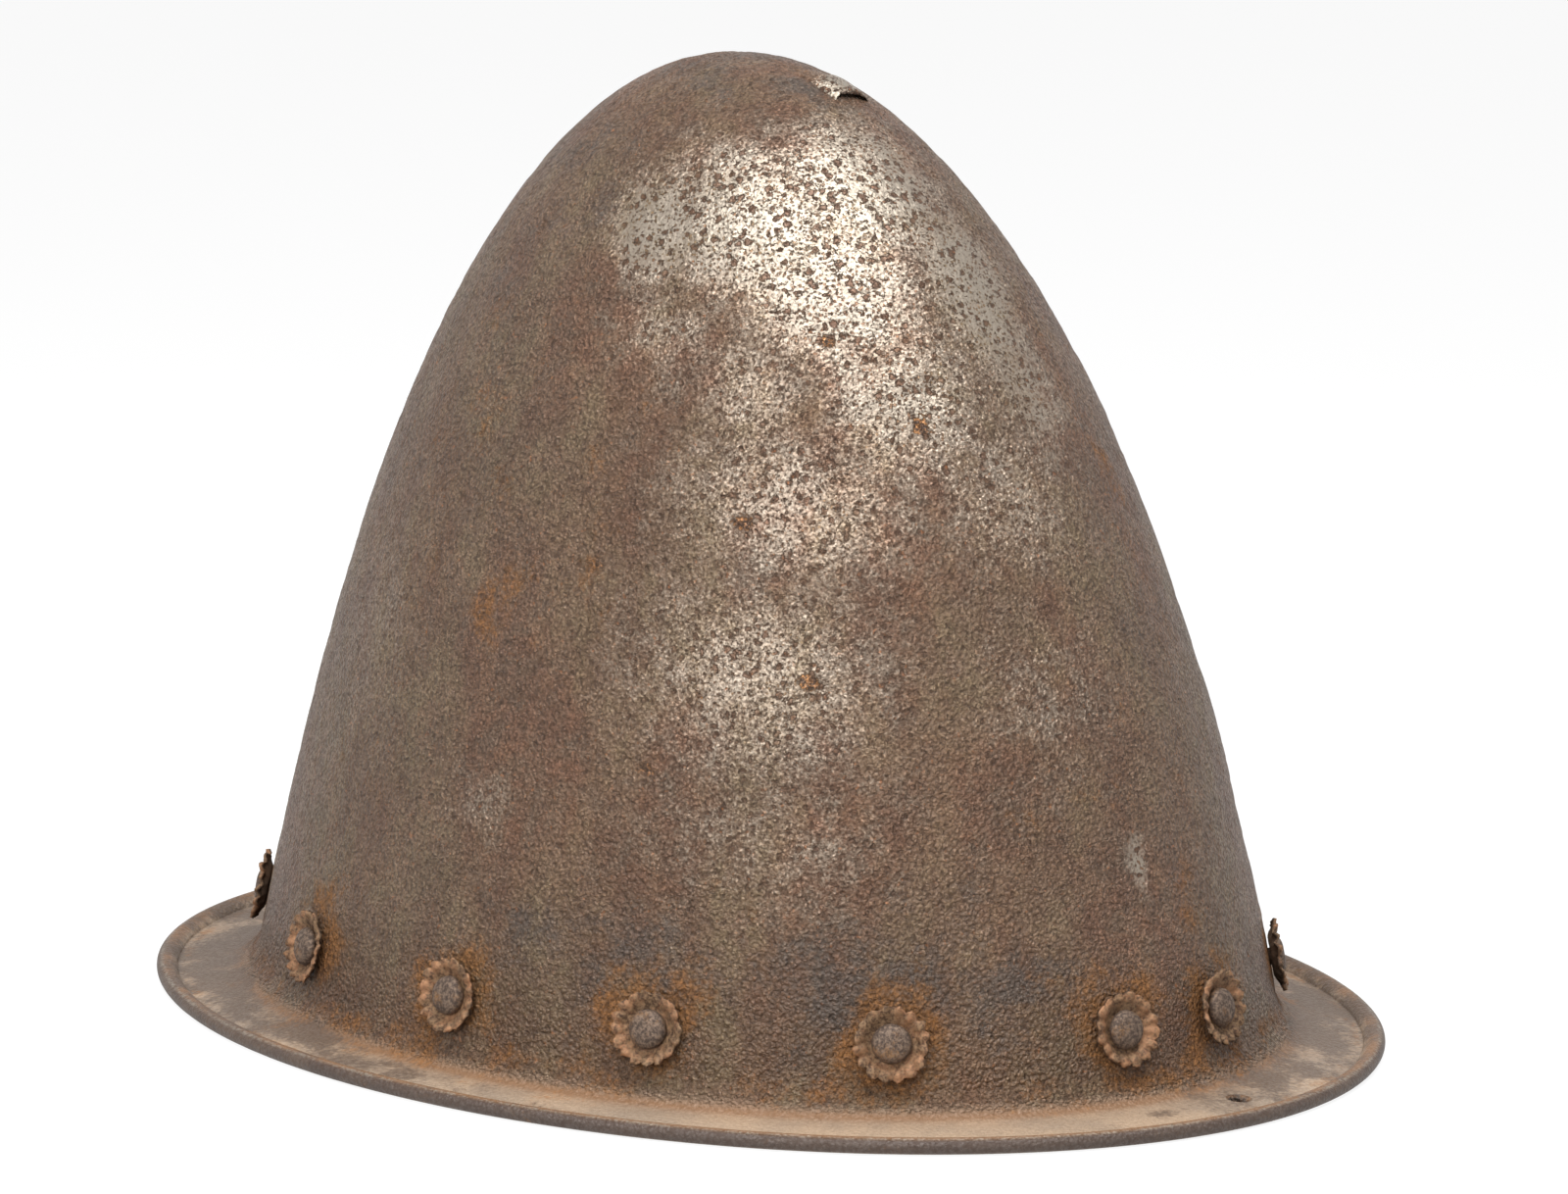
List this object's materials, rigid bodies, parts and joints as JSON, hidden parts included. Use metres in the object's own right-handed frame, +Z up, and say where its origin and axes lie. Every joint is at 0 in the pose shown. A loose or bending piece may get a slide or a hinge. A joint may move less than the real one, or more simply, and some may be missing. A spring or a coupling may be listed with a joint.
{
  "type": "cabasset helmet",
  "caption": "Open iron helmet with an almond-shaped skull and narrow brim, a rolled edge, riveted rosettes and a sewn lining.",
  "frame": {"origin": "centre of the brim's underside", "axes": "+Z up through the crown, -Y to the front, +Y to the rear, +X to the wearer's left"},
  "size_m": [0.258, 0.32, 0.2252],
  "materials": {
    "skull_iron": "browned wrought iron: pitted, flaking, rusty, worn bright in patches",
    "rivet_iron": "dark brown iron, rough and hammered",
    "rosette": "thin, tarnished and rust-stained, ragged at the rim",
    "leather": "old oiled leather, dry and dark",
    "linen": "quilted linen canvas, aged"
  },
  "bodies": {
    "root": {"skull": "skull_iron", "edge_wire": "rivet_iron", "lining_strap": "leather", "rivet_01": "rivet_iron", "rosette_01": "rosette", "rove_01": "rivet_iron", "rivet_02": "rivet_iron", "rosette_02": "rosette", "rove_02": "rivet_iron", "rivet_03": "rivet_iron", "rosette_03": "rosette", "rove_03": "rivet_iron", "rivet_04": "rivet_iron", "rosette_04": "rosette", "rove_04": "rivet_iron", "rivet_05": "rivet_iron", "rosette_05": "rosette", "rove_05": "rivet_iron", "rivet_06": "rivet_iron", "rosette_06": "rosette", "rove_06": "rivet_iron", "rivet_07": "rivet_iron", "rosette_07": "rosette", "rove_07": "rivet_iron", "rivet_08": "rivet_iron", "rosette_08": "rosette", "rove_08": "rivet_iron", "rivet_09": "rivet_iron", "rosette_09": "rosette", "rove_09": "rivet_iron", "rivet_10": "rivet_iron", "rosette_10": "rosette", "rove_10": "rivet_iron", "rivet_11": "rivet_iron", "rosette_11": "rosette", "rove_11": "rivet_iron", "rivet_12": "rivet_iron", "rosette_12": "rosette", "rove_12": "rivet_iron", "rivet_13": "rivet_iron", "rosette_13": "rosette", "rove_13": "rivet_iron", "rivet_14": "rivet_iron", "rosette_14": "rosette", "rove_14": "rivet_iron", "liner_gore_1": "linen", "liner_gore_2": "linen", "liner_gore_3": "linen", "liner_gore_4": "linen", "liner_gore_5": "linen", "liner_gore_6": "linen", "crown_lace": "linen"}
  },
  "joints": []
}
